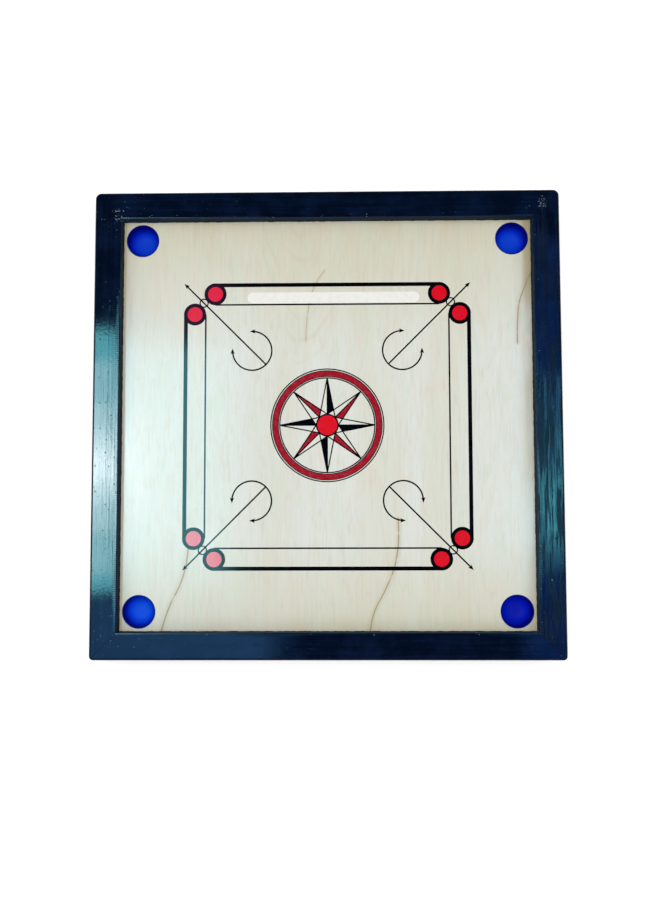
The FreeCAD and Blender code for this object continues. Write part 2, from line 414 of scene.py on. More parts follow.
# ---- Finishes ----------------------------------------------------------------------------------
@dataclass(frozen=True)
class Enamel:
    """Hand-brushed gloss enamel, near-black navy, over planed wood.

    Attributes:
        sizes: The board's sizes.
        brushed: The way the brush went.
        deep: The paint where it is thick.
        thin: The paint where it is thin.
        dust: Specks that dried into it.
        filler_and_glint: Pale marks at the mitres: putty at the back-right one, and a painted glint at the
            back-left inner corner.
        wall_sheen: A painted teal sheen on the cushions' upright faces, which the carrom men strike.
        gap: Dirt in the joint of a mitre.
        groove_half_width: Half the width of that joint.
        chatter_pitch: Distance between the brush's marks along a cushion.
        filled: Places of those pale marks, each with its middle (x, y) and its reach in X and Y.
    """

    sizes: BoardSizes
    brushed: Axis
    deep: Colour = srgb(3, 11, 29)
    thin: Colour = srgb(8, 22, 48)
    dust: Colour = srgb(128, 158, 180)
    filler_and_glint: Colour = srgb(176, 198, 214)
    wall_sheen: Colour = srgb(3, 34, 56)
    gap: Colour = srgb(2, 5, 12)
    groove_half_width: float = 0.35 * MM
    chatter_pitch: float = 3.1 * MM
    # The first two places are a painted glint at the back-left inner mitre; the last is putty at the
    # back-right mitre.
    filled: tuple[tuple[float, float, float, float], ...] = (
        (-0.2965, 0.293, 8 * MM, 6 * MM),
        (-0.300, 0.304, 7 * MM, 4 * MM),
        (0.306, 0.311, 7 * MM, 11 * MM),
    )

    def filler_and_glint_mask(self, tree: Shader) -> NodeSocket:
        """Where putty and a painted glint show at the mitres, from 0 to 1.

        Args:
            tree: The enamel's tree.

        Returns:
            The mask.
        """
        crumbs = tree.noise((420, 420, 420), detail=3, roughness=0.7, offset=12.0)
        whole: Feed = 0.0
        for x, y, half_x, half_y in self.filled:
            off_x = tree.math("DIVIDE", tree.minus(tree.x, x), half_x)
            off_y = tree.math("DIVIDE", tree.minus(tree.y, y), half_y)
            off = tree.plus(tree.times(off_x, off_x), tree.times(off_y, off_y))
            whole = tree.larger(whole, tree.between(off, 1.0, 0.2))
        return tree.times(tree.between(crumbs, 0.54, 0.68), whole)

    def dry_strokes(self, tree: Shader) -> NodeSocket:
        """Where a nearly dry brush dragged the paint on the right-hand rail, from 0 to 1.

        Args:
            tree: The enamel's tree.

        Returns:
            The mask.
        """
        strokes = tree.noise(self.brushed.stretch(16, 330), detail=3, roughness=0.55, offset=21.0)
        patches = tree.noise(self.brushed.stretch(18, 50), detail=2, offset=23.0)
        dragged = tree.between(tree.weighted((strokes, 0.75), (patches, 0.25)), 0.46, 0.56)
        on_right = 1.0 if self.brushed is Axis.ALONG_Y else 0.0
        return tree.times(dragged, tree.between(tree.x, 0.24, 0.29, on_right))

    @functools.cache
    def material(self) -> Material:
        """Builds the enamel for rails that are brushed one way.

        Returns:
            The enamel.
        """
        tree = Shader("frame_enamel_" + self.brushed.value)
        brush = tree.noise(self.brushed.stretch(6, 330), detail=4, roughness=0.6)
        swell = tree.noise(self.brushed.stretch(14, 60), detail=2, offset=3.1)
        peel = tree.noise((380, 380, 380), detail=2, offset=7.7)
        clouds = tree.noise((26, 26, 26), detail=3, roughness=0.6, offset=1.9)
        lumps = tree.domes(6 * MM, 1.1 * MM, 4.0)
        away_x = tree.absolute(tree.x)
        away_y = tree.absolute(tree.y)
        out = tree.larger(away_x, away_y)
        off_mitre = tree.absolute(tree.minus(away_x, away_y))
        groove = tree.between(off_mitre, self.groove_half_width, 0.0)
        groove = tree.times(groove, tree.between(clouds, 0.35, 0.6))
        half = self.sizes.field_half
        inside = tree.between(out, half + 2 * MM, half + 1 * MM)
        wall = tree.times(tree.between(tree.absolute(tree.upward()), 0.3, 0.1), inside)
        near_mitre = tree.between(off_mitre, 60 * MM, 8 * MM)
        dusty = tree.larger(near_mitre, tree.band(out, half, half + 4 * MM, 5 * MM))
        rough_patch = tree.between(tree.noise((60, 60, 60), detail=2, offset=5.2), 0.45, 0.62)
        specks = tree.times(tree.dots(3.6 * MM, 0.6 * MM), tree.times(dusty, rough_patch))
        specks = tree.larger(specks, tree.dots(24 * MM, 1.0 * MM, 6.0))
        shade = tree.weighted((clouds, 0.6), (brush, 0.4))
        colour = tree.coats(
            self.deep,
            (tree.between(shade, 0.4, 0.65), self.thin),
            # Painted teal sheen on the cushions' upright faces.
            (tree.times(wall, 0.7), self.wall_sheen),
            (tree.times(specks, 0.8), self.dust),
            # Putty at the back-right mitre, and a painted glint at the back-left inner mitre.
            (tree.times(self.filler_and_glint_mask(tree), 0.85), self.filler_and_glint),
            (tree.times(groove, 0.7), self.gap),
        )
        along = tree.x if self.brushed is Axis.ALONG_X else tree.y
        chatter = tree.math("SINE", tree.times(along, math.tau / self.chatter_pitch))
        chatter = tree.times(chatter, tree.band(out, half, half + 3 * MM, 4 * MM))
        relief = ((brush, 0.9), (swell, 0.8), (peel, 0.3), (lumps, 1.8), (chatter, 0.2), (specks, 0.9))
        height = tree.minus(tree.weighted(*relief), tree.times(groove, 1.5))
        gloss = tree.plus(tree.weighted((brush, 0.05), (self.dry_strokes(tree), 0.24)), 0.04)
        gloss = tree.larger(gloss, wall)
        return tree.finish(Base_Color=colour, Roughness=gloss, IOR=1.4, Normal=tree.bump(height, 0.1 * MM))


@dataclass(frozen=True)
class Streak:
    """A mineral streak that wanders down the veneer.

    Attributes:
        points: Places (x, y) in metres, front to back.
        width: Width of the dark line in metres.
        strength: How dark it is, from 0 to 1.
    """

    points: tuple[Point, ...]
    width: float
    strength: float

    def mask(self, tree: Shader, half: float) -> NodeSocket:
        """How dark the streak makes each place.

        Args:
            tree: The ply's tree.
            half: Half the side of a square that holds the streak.

        Returns:
            A mask from 0 to the streak's strength.
        """
        share = [((y + half) / (2 * half), (x + half) / (2 * half)) for x, y in self.points]
        along = tree.math("DIVIDE", tree.plus(tree.y, half), 2 * half)
        centre = tree.minus(tree.times(tree.path(along, share), 2 * half), half)
        off = tree.absolute(tree.minus(tree.x, centre))
        line = tree.between(off, self.width, self.width * 0.2)
        line = tree.larger(line, tree.between(off, self.width * 5, 0.0, 0.22))
        run = tree.band(tree.y, self.points[0][1], self.points[-1][1], 6 * MM)
        wear = tree.noise((30, 60, 30), detail=3, offset=self.points[0][0] * 50)
        return tree.times(tree.times(line, run), tree.between(wear, 0.2, 0.42, self.strength))


@dataclass(frozen=True)
class LacqueredPly:
    """Pale birch-faced plywood, its top lacquered over the print and its back left raw."""

    sizes: BoardSizes
    front: Colour = srgb(209, 208, 189)
    middle: Colour = srgb(221, 225, 219)
    back: Colour = srgb(210, 206, 184)
    streaks: tuple[Streak, ...] = (
        Streak(
            ((-0.233, -0.292), (-0.221, -0.256), (-0.205, -0.222), (-0.197, -0.188), (-0.196, -0.16)),
            width=1.8 * MM,
            strength=0.75,
        ),
        Streak(
            ((0.060, -0.292), (0.0655, -0.266), (0.082, -0.233), (0.0955, -0.198), (0.1, -0.137)),
            width=1.6 * MM,
            strength=0.75,
        ),
        Streak(
            ((0.271, 0.115), (0.272, 0.15), (0.2745, 0.172), (0.281, 0.191), (0.29, 0.2125)),
            width=1.6 * MM,
            strength=0.75,
        ),
        Streak(
            ((-0.030, 0.12), (-0.027, 0.16), (-0.0205, 0.19), (-0.005, 0.218)),
            width=1.1 * MM,
            strength=0.5,
        ),
    )

    def face_colour(self, tree: Shader, fibre: Feed) -> NodeSocket:
        """The lacquered face's colour.

        Args:
            tree: The ply's tree.
            fibre: Fine grain from 0 to 1.

        Returns:
            The colour before any shading.
        """
        half = self.sizes.field_half
        along = tree.math("DIVIDE", tree.plus(tree.y, half), 2 * half)
        stops = ((0.0, self.front), (0.22, self.middle), (0.68, self.middle), (1.0, self.back))
        bands = tree.noise((17, 1.6, 17), detail=3, distortion=0.6, offset=2.4)
        blotches = tree.noise((46, 15, 46), detail=4, roughness=0.62, distortion=1.2, offset=5.0)
        flame = tree.noise((95, 11, 95), detail=3, roughness=0.55, distortion=2.4, offset=15.0)
        colour = tree.coats(
            tree.tint(along, stops),
            (tree.between(bands, 0.42, 0.72, 0.26), srgb(206, 197, 168)),
            (tree.between(bands, 0.45, 0.22, 0.35), srgb(222, 226, 218)),
            (tree.between(blotches, 0.5, 0.64, 0.26), srgb(218, 208, 188)),
            (tree.between(blotches, 0.49, 0.36, 0.34), srgb(208, 219, 198)),
            (tree.between(flame, 0.52, 0.66, 0.18), srgb(196, 190, 166)),
        )
        grain = tree.tint(fibre, ((0.25, srgb(196, 190, 172)), (0.6, srgb(255, 255, 250))))
        colour = tree.blend(0.12, colour, grain, "MULTIPLY")
        pores = tree.noise((900, 70, 900), detail=1, offset=9.0)
        flecks = tree.dots(26 * MM, 0.8 * MM, 2.0)
        outer = self.sizes.outer_half
        return tree.coats(
            colour,
            (tree.between(pores, 0.66, 0.8, 0.14), srgb(166, 150, 118)),
            (tree.times(flecks, 0.4), srgb(140, 122, 92)),
            (self.cathedral(tree), srgb(178, 163, 133)),
            *((streak.mask(tree, outer), srgb(146, 116, 52)) for streak in self.streaks),
            *self.stain_and_painted_shade(tree),
        )

    def cathedral(self, tree: Shader) -> NodeSocket:
        """The mask of faint nested arches in the middle of the veneer, towards the back.

        Args:
            tree: The ply's tree.

        Returns:
            The mask.
        """
        wander = tree.noise((7, 3, 7), detail=3, offset=4.0)
        across = tree.minus(tree.x, -0.035)
        ring = tree.minus(tree.y, tree.times(tree.times(across, across), 26.0))
        ring = tree.plus(ring, tree.times(wander, 0.12))
        line = tree.between(tree.math("SINE", tree.times(ring, 170.0)), 0.55, 1.0)
        zone = tree.times(tree.band(tree.y, 0.1, 0.27, 0.07), tree.band(tree.x, -0.11, 0.03, 0.05))
        patchy = tree.noise((30, 18, 30), detail=3, offset=13.0)
        return tree.times(tree.times(line, zone), tree.between(patchy, 0.42, 0.62, 0.1))

    def stain_and_painted_shade(self, tree: Shader) -> list[tuple[NodeSocket, Colour]]:
        """Bands along the cushions' feet: partly lacquer stained by paint thinner and handling, partly
        painted shade from the cushions.

        Args:
            tree: The ply's tree.

        Returns:
            Pairs of a mask and the colour of the stain and painted shade.
        """
        half = self.sizes.field_half
        patchy = tree.noise((22, 9, 22), detail=3, offset=6.0)
        # Painted shadow of the left cushion, with some varnish build-up: a tan strip about 4 mm wide.
        left = tree.band(tree.x, -half - 1 * MM, -half + 3.8 * MM, 0.5 * MM)
        # Painted shade along the right cushion, partly staining, stronger towards the back.
        right = tree.times(tree.band(tree.x, half - 7 * MM, half, 9 * MM), tree.between(patchy, 0.3, 0.6))
        right = tree.times(right, tree.plus(tree.between(tree.y, -0.05, 0.24, 0.45), 0.2))
        # Painted shade near all four cushions, partly staining, in patches.
        edge = tree.larger(tree.absolute(tree.x), tree.absolute(tree.y))
        rim = tree.times(tree.between(edge, half - 26 * MM, half), tree.between(patchy, 0.35, 0.7, 0.22))
        return [
            (tree.times(left, 0.6), srgb(186, 172, 142)),
            (right, srgb(166, 150, 98)),
            (rim, srgb(196, 178, 138)),
        ]

    def plies(self, tree: Shader) -> NodeSocket:
        """The edge's colour: five veneers with their grain turned about.

        Args:
            tree: The ply's tree.

        Returns:
            The edge's colour.
        """
        thickness = self.sizes.field_z - self.sizes.panel_under_z
        depth = tree.math("DIVIDE", tree.minus(tree.z, self.sizes.panel_under_z), thickness)
        layer = tree.math("PINGPONG", tree.times(depth, 5.0), 1.0)
        return tree.blend(tree.between(layer, 0.4, 0.6), srgb(199, 165, 118), srgb(150, 110, 70))

    @functools.cache
    def material(self) -> Material:
        """Builds the ply.

        Returns:
            The ply.
        """
        tree = Shader("playing_surface_ply")
        fibre = tree.noise((420, 13, 420), detail=5, roughness=0.62, distortion=0.7)
        ripple = tree.noise((40, 14, 40), detail=2, offset=8.0)
        raw = tree.tint(fibre, ((0.3, srgb(176, 140, 96)), (0.7, srgb(214, 184, 140))))
        up = tree.upward()
        lacquered = tree.between(up, 0.3, 0.7)
        colour = tree.blend(tree.between(up, -0.2, -0.6), self.plies(tree), raw)
        colour = tree.blend(lacquered, colour, self.face_colour(tree, fibre))
        rough = tree.plus(tree.weighted((lacquered, -0.56), (fibre, 0.08)), 0.68)
        height = tree.weighted((fibre, 0.25), (ripple, 1.0))
        return tree.finish(Base_Color=colour, Roughness=rough, IOR=1.35, Normal=tree.bump(height, 0.05 * MM))


@dataclass(frozen=True)
class MouldedPlastic:
    """Blue moulded plastic with a fine spark-eroded texture, with painted shade: darker on upright walls and
    at the lip, paler on level floors.

    Attributes:
        sizes: The board's sizes.
        name: The material's name.
        paleness: How far the cup's colour goes from the deeper blues to the paler ones, from 0 to 1.
        deeper_blues: Colour from upright walls, at 0, to level floors, at 1; the darker walls are painted
            shade.
        pale: The paler colours, likewise.
    """

    sizes: BoardSizes
    name: str
    paleness: float
    deeper_blues: tuple[tuple[float, Colour], ...] = (
        (0.0, srgb(1, 12, 128)),
        (0.5, srgb(3, 22, 186)),
        (0.8, srgb(4, 31, 202)),
        (1.0, srgb(5, 30, 194)),
    )
    pale: tuple[tuple[float, Colour], ...] = (
        (0.0, srgb(1, 12, 128)),
        (0.5, srgb(4, 46, 204)),
        (0.8, srgb(6, 78, 240)),
        (1.0, srgb(10, 102, 255)),
    )

    @functools.cache
    def material(self) -> Material:
        """Builds the pocket's plastic.

        Returns:
            The plastic.
        """
        tree = Shader(self.name)
        clouds = tree.noise((55, 55, 55), detail=3, roughness=0.55)
        texture = tree.noise((2200, 2200, 2200), detail=2)
        scuffs = tree.noise((180, 700, 400), detail=3, offset=2.0)
        # Painted shade in the bowl: upright walls take the darker stops of the ramps, level floors the paler.
        level = tree.minus(tree.absolute(tree.upward()), tree.between(clouds, 0.35, 0.75, 0.04))
        lip = self.sizes.field_z
        # Painted shade at the lip: near the playing surface the plastic goes to the darkest stop.
        level = tree.times(level, tree.between(tree.z, lip - 1 * MM, lip - 2 * MM))
        colour = tree.blend(self.paleness, tree.tint(level, self.deeper_blues), tree.tint(level, self.pale))
        colour = tree.blend(tree.between(scuffs, 0.66, 0.78, 0.15), colour, srgb(24, 96, 235))
        rough = tree.plus(tree.times(scuffs, 0.2), 0.38)
        return tree.finish(Base_Color=colour, Roughness=rough, IOR=1.15, Normal=tree.bump(texture, 0.03 * MM))


@dataclass(frozen=True)
class PlanedTimber:
    """Raw planed softwood with growth rings, for the battens and ledger strips."""

    grain: Axis
    early: Colour = srgb(214, 181, 132)
    late: Colour = srgb(168, 122, 74)

    @functools.cache
    def material(self) -> Material:
        """Builds the timber for pieces that lie along one axis.

        Returns:
            The timber.
        """
        tree = Shader("planed_timber_" + self.grain.value)
        wander = tree.noise(self.grain.stretch(2.2, 24), detail=3, distortion=0.4)
        rings = tree.between(tree.math("SINE", tree.times(wander, 70.0)), 0.1, 0.95)
        fibre = tree.noise(self.grain.stretch(18, 900), detail=3, offset=4.0)
        knots = tree.noise(self.grain.stretch(7, 26), detail=1, offset=11.0)
        colour = tree.coats(
            self.early,
            (tree.times(rings, 0.75), self.late),
            (tree.between(fibre, 0.5, 0.75, 0.3), srgb(134, 94, 54)),
            (tree.between(knots, 0.74, 0.8, 0.8), srgb(96, 58, 32)),
        )
        height = tree.plus(fibre, tree.times(rings, 0.5))
        rough = tree.plus(tree.times(rings, -0.1), 0.72)
        return tree.finish(Base_Color=colour, Roughness=rough, Normal=tree.bump(height, 0.08 * MM))


@dataclass(frozen=True)
class PlatedSteel:
    """Zinc-plated steel with a dull, slightly blotched passivation."""

    bright: Colour = srgb(196, 192, 178)
    dull: Colour = srgb(146, 140, 124)

    @functools.cache
    def material(self) -> Material:
        """Builds the screws' steel.

        Returns:
            The steel.
        """
        tree = Shader("plated_steel")
        blotches = tree.noise((420, 420, 420), detail=3)
        scratches = tree.noise((1500, 1500, 200), detail=2, offset=3.0)
        colour = tree.blend(tree.between(blotches, 0.35, 0.7), self.bright, self.dull)
        rough = tree.plus(tree.times(scratches, 0.25), 0.25)
        bump = tree.bump(scratches, 0.02 * MM)
        return tree.finish(Base_Color=colour, Metallic=1.0, Roughness=rough, Normal=bump)


@dataclass(frozen=True)
class PrintedInk:
    """Screen-printed ink under the lacquer.

    Attributes:
        name: The material's name.
        slot: A material slot name for it; not used.
        body: The ink where it is thick.
        worn: The ink where the squeegee left it thin.
        mottling: How much of the thin colour shows, from 0 to 1.
        index: The refractive index of its glossy top.
    """

    name: str
    slot: Slot
    body: Colour
    worn: Colour
    mottling: float
    index: float = 1.4

    @functools.cache
    def material(self) -> Material:
        """Builds the ink.

        Returns:
            The ink.
        """
        tree = Shader(self.name)
        clouds = tree.noise((130, 130, 130), detail=4, roughness=0.65)
        mesh_marks = tree.noise((1600, 1600, 1600), detail=1, offset=2.0)
        colour = tree.coats(
            self.body,
            (tree.between(clouds, 0.42, 0.72, self.mottling), self.worn),
            (tree.between(mesh_marks, 0.7, 0.8, self.mottling * 0.5), self.worn),
        )
        rough = tree.plus(tree.times(clouds, 0.05), 0.08)
        bump = tree.bump(mesh_marks, 0.002 * MM)
        return tree.finish(Base_Color=colour, Roughness=rough, IOR=self.index, Normal=bump)


BLACK = PrintedInk("printed_ink_black", Slot.BLACK_INK, srgb(2, 3, 8), srgb(12, 15, 24), 0.4)
RED = PrintedInk("printed_ink_red", Slot.RED_INK, srgb(220, 0, 26), srgb(215, 12, 50), 0.6, index=1.68)
RING_RED = PrintedInk("printed_ink_deep_red", Slot.RED_INK, srgb(156, 12, 34), srgb(150, 52, 64), 0.8)
CREAM = PrintedInk("printed_ink_cream", Slot.CREAM_INK, srgb(238, 238, 233), srgb(230, 230, 222), 0.8)


def placed(name: str, data: ID) -> Object:
    """Puts an object that shows the given data in the scene, at the origin.

    Args:
        name: The object's name.
        data: Its mesh, lamp or camera.

    Returns:
        The object.
    """
    item = bpy.data.objects.new(name, data)
    bpy.context.scene.collection.objects.link(item)
    return item


# ---- Geometry Nodes ----------------------------------------------------------------------------
class Growth(Tree):
    """A geometry tree with named inputs, which ends in real faces of one material."""

    def __init__(self, name: str, inputs: dict[str, str]) -> None:
        """Makes an empty tree.

        Args:
            name: The tree's name.
            inputs: Its inputs' names, each with its socket type after "NodeSocket".
        """
        super().__init__(bpy.data.node_groups.new(name, "GeometryNodeTree"))
        self.tree.interface.new_socket("Geometry", in_out="INPUT", socket_type="NodeSocketGeometry")
        for label, kind in {**inputs, "Material": "Material"}.items():
            self.tree.interface.new_socket(label, in_out="INPUT", socket_type="NodeSocket" + kind)
        self.tree.interface.new_socket("Geometry", in_out="OUTPUT", socket_type="NodeSocketGeometry")
        self.given = self.add("NodeGroupInput").outputs

    def paths(self) -> NodeSocket:
        """The given mesh's edges as curves that lie flat."""
        curves = self.made("GeometryNodeMeshToCurve", {"Mesh": self.given["Geometry"]})
        return self.made("GeometryNodeSetCurveNormal", {"Curve": curves}, mode="Z_UP")

    def lifted(self, geometry: NodeSocket, height: Feed) -> NodeSocket:
        """Moves geometry up."""
        raise_by = self.made("ShaderNodeCombineXYZ", {"Z": height})
        return self.made("GeometryNodeTransform", {"Geometry": geometry, "Translation": raise_by})

    def round_centre(self, geometry: NodeSocket, copies: Feed) -> NodeSocket:
        """Repeats geometry at even turns about the board's centre.

        Args:
            geometry: What is repeated.
            copies: How many there are round the centre.

        Returns:
            All the copies.
        """
        points = self.made("GeometryNodePoints", {"Count": copies})
        index = self.made("GeometryNodeInputIndex")
        turn = self.math("DIVIDE", self.times(index, math.tau), copies)
        rotation = self.made("ShaderNodeCombineXYZ", {"Z": turn})
        feeds = {"Points": points, "Instance": geometry, "Rotation": rotation}
        return self.made("GeometryNodeInstanceOnPoints", feeds)

    def end(self, geometry: NodeSocket) -> NodeTree:
        """Makes instances real, sets the material and closes the tree.

        Args:
            geometry: The finished geometry.

        Returns:
            The closed tree.
        """
        real = self.made("GeometryNodeRealizeInstances", {"Geometry": geometry})
        feeds = {"Geometry": real, "Material": self.given["Material"]}
        dressed = self.made("GeometryNodeSetMaterial", feeds)
        self.add("NodeGroupOutput", {"Geometry": dressed})
        return self.tree


@functools.cache
def stroke_tree() -> NodeTree:
    """Printed lines: flat ribbons along paths, repeated about the centre.

    Returns:
        The tree, with its sizes as named inputs.
    """
    inputs = {"Width": "Float", "Thickness": "Float", "Height": "Float", "Copies": "Int"}
    growth = Growth("printed_strokes", inputs)
    given = growth.given
    feeds = {"Width": given["Width"], "Height": given["Thickness"]}
    section = growth.made("GeometryNodeCurvePrimitiveQuadrilateral", feeds)
    feeds = {"Curve": growth.paths(), "Profile Curve": section, "Fill Caps": True}
    ribbon = growth.made("GeometryNodeCurveToMesh", feeds)
    middle = growth.plus(given["Height"], growth.times(given["Thickness"], 0.5))
    return growth.end(growth.round_centre(growth.lifted(ribbon, middle), given["Copies"]))


@functools.cache
def plate_tree() -> NodeTree:
    """Printed shapes: filled outlines with a thickness, repeated about the centre.

    Returns:
        The tree, with its sizes as named inputs.
    """
    growth = Growth("printed_plates", {"Thickness": "Float", "Height": "Float", "Copies": "Int"})
    given = growth.given
    face = growth.made("GeometryNodeFillCurve", {"Curve": growth.paths()})
    rise = growth.made("ShaderNodeCombineXYZ", {"Z": given["Thickness"]})
    feeds = {"Mesh": face, "Offset": rise, "Offset Scale": 1.0, "Individual": False}
    raised = growth.made("GeometryNodeExtrudeMesh", feeds)
    under = growth.made("GeometryNodeFlipFaces", {"Mesh": face})
    both = growth.add("GeometryNodeJoinGeometry")
    growth.tree.links.new(raised, both.inputs[0])
    growth.tree.links.new(under, both.inputs[0])
    feeds = {"Geometry": both.outputs[0], "Distance": 1e-6}
    closed = growth.made("GeometryNodeMergeByDistance", feeds)
    return growth.end(growth.round_centre(growth.lifted(closed, given["Height"]), given["Copies"]))


@functools.cache
def bead_tree() -> NodeTree:
    """A bead of thick paint along a path, its width wandering from place to place.

    Returns:
        The tree, with its sizes as named inputs.
    """
    inputs = {"Step": "Float", "Thin": "Float", "Thick": "Float", "Wander": "Float"}
    growth = Growth("paint_bead", inputs)
    given = growth.given
    feeds = {"Curve": growth.paths(), "Length": given["Step"]}
    even = growth.made("GeometryNodeResampleCurve", feeds, mode="LENGTH")
    place = growth.made("GeometryNodeInputPosition")
    feeds = {"Vector": place, "Scale": given["Wander"], "Detail": 3.0}
    cloud = growth.made("ShaderNodeTexNoise", feeds)
    feeds = {0: cloud, 1: 0.42, 2: 0.7, 3: given["Thin"], 4: given["Thick"]}
    radius = growth.made("ShaderNodeMapRange", feeds)
    section = growth.made("GeometryNodeCurvePrimitiveCircle", {"Resolution": 8, "Radius": 1.0})
    feeds = {"Curve": even, "Profile Curve": section, "Scale": radius, "Fill Caps": True}
    return growth.end(growth.made("GeometryNodeCurveToMesh", feeds))


@functools.cache
def nib_tree() -> NodeTree:
    """Dust nibs: small lumps under the paint, scattered over faces with a fixed seed.

    Returns:
        The tree, with its sizes as named inputs.
    """
    inputs = {"Density": "Float", "Smallest": "Float", "Largest": "Float", "Flatness": "Float", "Seed": "Int"}
    growth = Growth("dust_nibs", inputs)
    given = growth.given
    feeds = {"Mesh": given["Geometry"], "Density": given["Density"], "Seed": given["Seed"]}
    points = growth.made("GeometryNodeDistributePointsOnFaces", feeds)
    lump = growth.made("GeometryNodeMeshIcoSphere", {"Radius": 1.0, "Subdivisions": 2})
    flat = growth.made("ShaderNodeCombineXYZ", {"X": 1.0, "Y": 1.0, "Z": given["Flatness"]})
    lump = growth.made("GeometryNodeTransform", {"Geometry": lump, "Scale": flat})
    chance = growth.add("FunctionNodeRandomValue", {"Seed": given["Seed"]}, data_type="FLOAT").outputs[1]
    skewed = growth.math("POWER", chance, 3.0)
    feeds = {0: skewed, 1: 0.0, 2: 1.0, 3: given["Smallest"], 4: given["Largest"]}
    size = growth.made("ShaderNodeMapRange", feeds)
    feeds = {"Points": points, "Instance": lump, "Scale": size}
    return growth.end(growth.made("GeometryNodeInstanceOnPoints", feeds))


def grown(tree: NodeTree, name: str, seed: Mesh, **settings: Feed) -> Object:
    """Runs a geometry tree on a mesh and keeps the result as a plain mesh.

    Args:
        tree: The geometry tree.
        name: The new piece's name.
        seed: The mesh that the tree starts from.
        **settings: The tree's inputs by name.

    Returns:
        The finished piece, with no modifier on it.
    """
    carrier = placed(name + "_seed", seed)
    modifier = carrier.modifiers.new("grow", "NODES")
    modifier.node_group = tree
    sockets = {item.name: item.identifier for item in tree.interface.items_tree if item.in_out == "INPUT"}
    for label, value in settings.items():
        modifier[sockets[label]] = value
    bpy.context.view_layer.update()
    seen = carrier.evaluated_get(bpy.context.evaluated_depsgraph_get())
    mesh = bpy.data.meshes.new_from_object(seen)
    mesh.name = name
    bpy.data.objects.remove(carrier)
    bpy.data.meshes.remove(seed)
    return placed(name, mesh)


def settle(piece: Object) -> Object:
    """Makes a piece ride on the board and reports it.

    Args:
        piece: The finished piece.

    Returns:
        The same piece.
    """
    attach(piece, BODY)
    LOG.info("%s: %d faces", piece.name, len(piece.data.polygons))
    return piece


# ---- Paths and outlines ------------------------------------------------------------------------
def arc_points(centre: Point, radius: float, start: float, end: float, steps: int) -> list[Point]:
    """Evenly spaced points on an arc.

    Args:
        centre: The arc's centre.
        radius: Its radius.
        start: The first direction in radians.
        end: The last direction in radians.
        steps: Number of spaces between points.

    Returns:
        The points, both ends included.
    """
    turns = (start + (end - start) * step / steps for step in range(steps + 1))
    return [(centre[0] + radius * math.cos(turn), centre[1] + radius * math.sin(turn)) for turn in turns]


def circle_points(centre: Point, radius: float, steps: int = 72) -> list[Point]:
    """Points right round a circle, the first not repeated."""
    return arc_points(centre, radius, 0.0, math.tau, steps)[:-1]


def square_points(half: float) -> list[Point]:
    """The corners of a square about the centre, anticlockwise from the front left."""
    return [(-half, -half), (half, -half), (half, half), (-half, half)]


def arrowhead(tip: Point, direction: float, length: float, width: float, notch: float) -> list[Point]:
    """The outline of a solid arrowhead.

    Args:
        tip: Its point.
        direction: The way it points, in radians.
        length: From the tip to the barbs.
        width: Across the barbs.
        notch: How far the back is hollowed.

    Returns:
        Its outline, anticlockwise.
    """
    ahead = Vector((math.cos(direction), math.sin(direction)))
    left = Vector((-ahead.y, ahead.x))
    point = Vector(tip)
    corners = (
        point,
        point - ahead * length + left * width / 2,
        point - ahead * (length - notch),
        point - ahead * length - left * width / 2,
    )
    return [(corner.x, corner.y) for corner in corners]


def paths_mesh(name: str, paths: Iterable[Sequence[Point]], closed: bool) -> Mesh:
    """A mesh of bare edges that follow flat paths.

    Args:
        name: The mesh's name.
        paths: The points of each path.
        closed: Whether each path runs back to its start.

    Returns:
        The mesh, lying on Z = 0.
    """
    vertices: list[tuple[float, float, float]] = []
    edges: list[tuple[int, int]] = []
    for path in paths:
        first = len(vertices)
        vertices += [(x, y, 0.0) for x, y in path]
        last = len(vertices) - 1
        edges += [(index, index + 1) for index in range(first, last)]
        if closed:
            edges.append((last, first))
    mesh = bpy.data.meshes.new(name)
    mesh.from_pydata(vertices, edges, [])
    return mesh


# ---- Print on the playing surface ----------------------------------------------------------------
@dataclass
class Print:
    """One colour pass of the screen print: strokes and plates at one height."""

    sizes: BoardSizes
    ink: PrintedInk
    layer: int = 1
    film: float = 0.03 * MM
    off_centre: tuple[float, float, float] = (0.4 * MM, -2.8 * MM, 0.0)

    def strokes(
        self, name: str, paths: Sequence[Sequence[Point]], width: float, closed: bool, copies: int
    ) -> None:
        """Prints lines along paths.

        Args:
            name: The piece's name.
            paths: Their points, for the first copy.
            width: The lines' width.
            closed: Whether each path is a loop.
            copies: How often they repeat about the centre.
        """
        self.press(stroke_tree(), name, paths_mesh(name, paths, closed), Width=width, Copies=copies)

    def plates(self, name: str, outlines: Sequence[Sequence[Point]], copies: int) -> None:
        """Prints filled shapes.

        Args:
            name: The piece's name.
            outlines: Their outlines, for the first copy.
            copies: How often they repeat about the centre.
        """
        self.press(plate_tree(), name, paths_mesh(name, outlines, True), Copies=copies)

    def press(self, tree: NodeTree, name: str, seed: Mesh, **settings: Feed) -> None:
        """Runs one tree at this pass's height and settles the result, as far off centre as the print.

        Args:
            tree: The tree that draws the marks.
            name: The piece's name.
            seed: The paths or outlines that the tree starts from.
            **settings: The tree's sizes, by the names of its inputs.
        """
        settings.update(
            Thickness=self.film * self.layer,
            Height=self.sizes.field_z,
            Material=self.ink.material(),
        )
        piece = grown(tree, name, seed, **settings)
        piece.data.transform(Matrix.Translation(self.off_centre))
        piece.data.shade_flat()
        settle(piece)


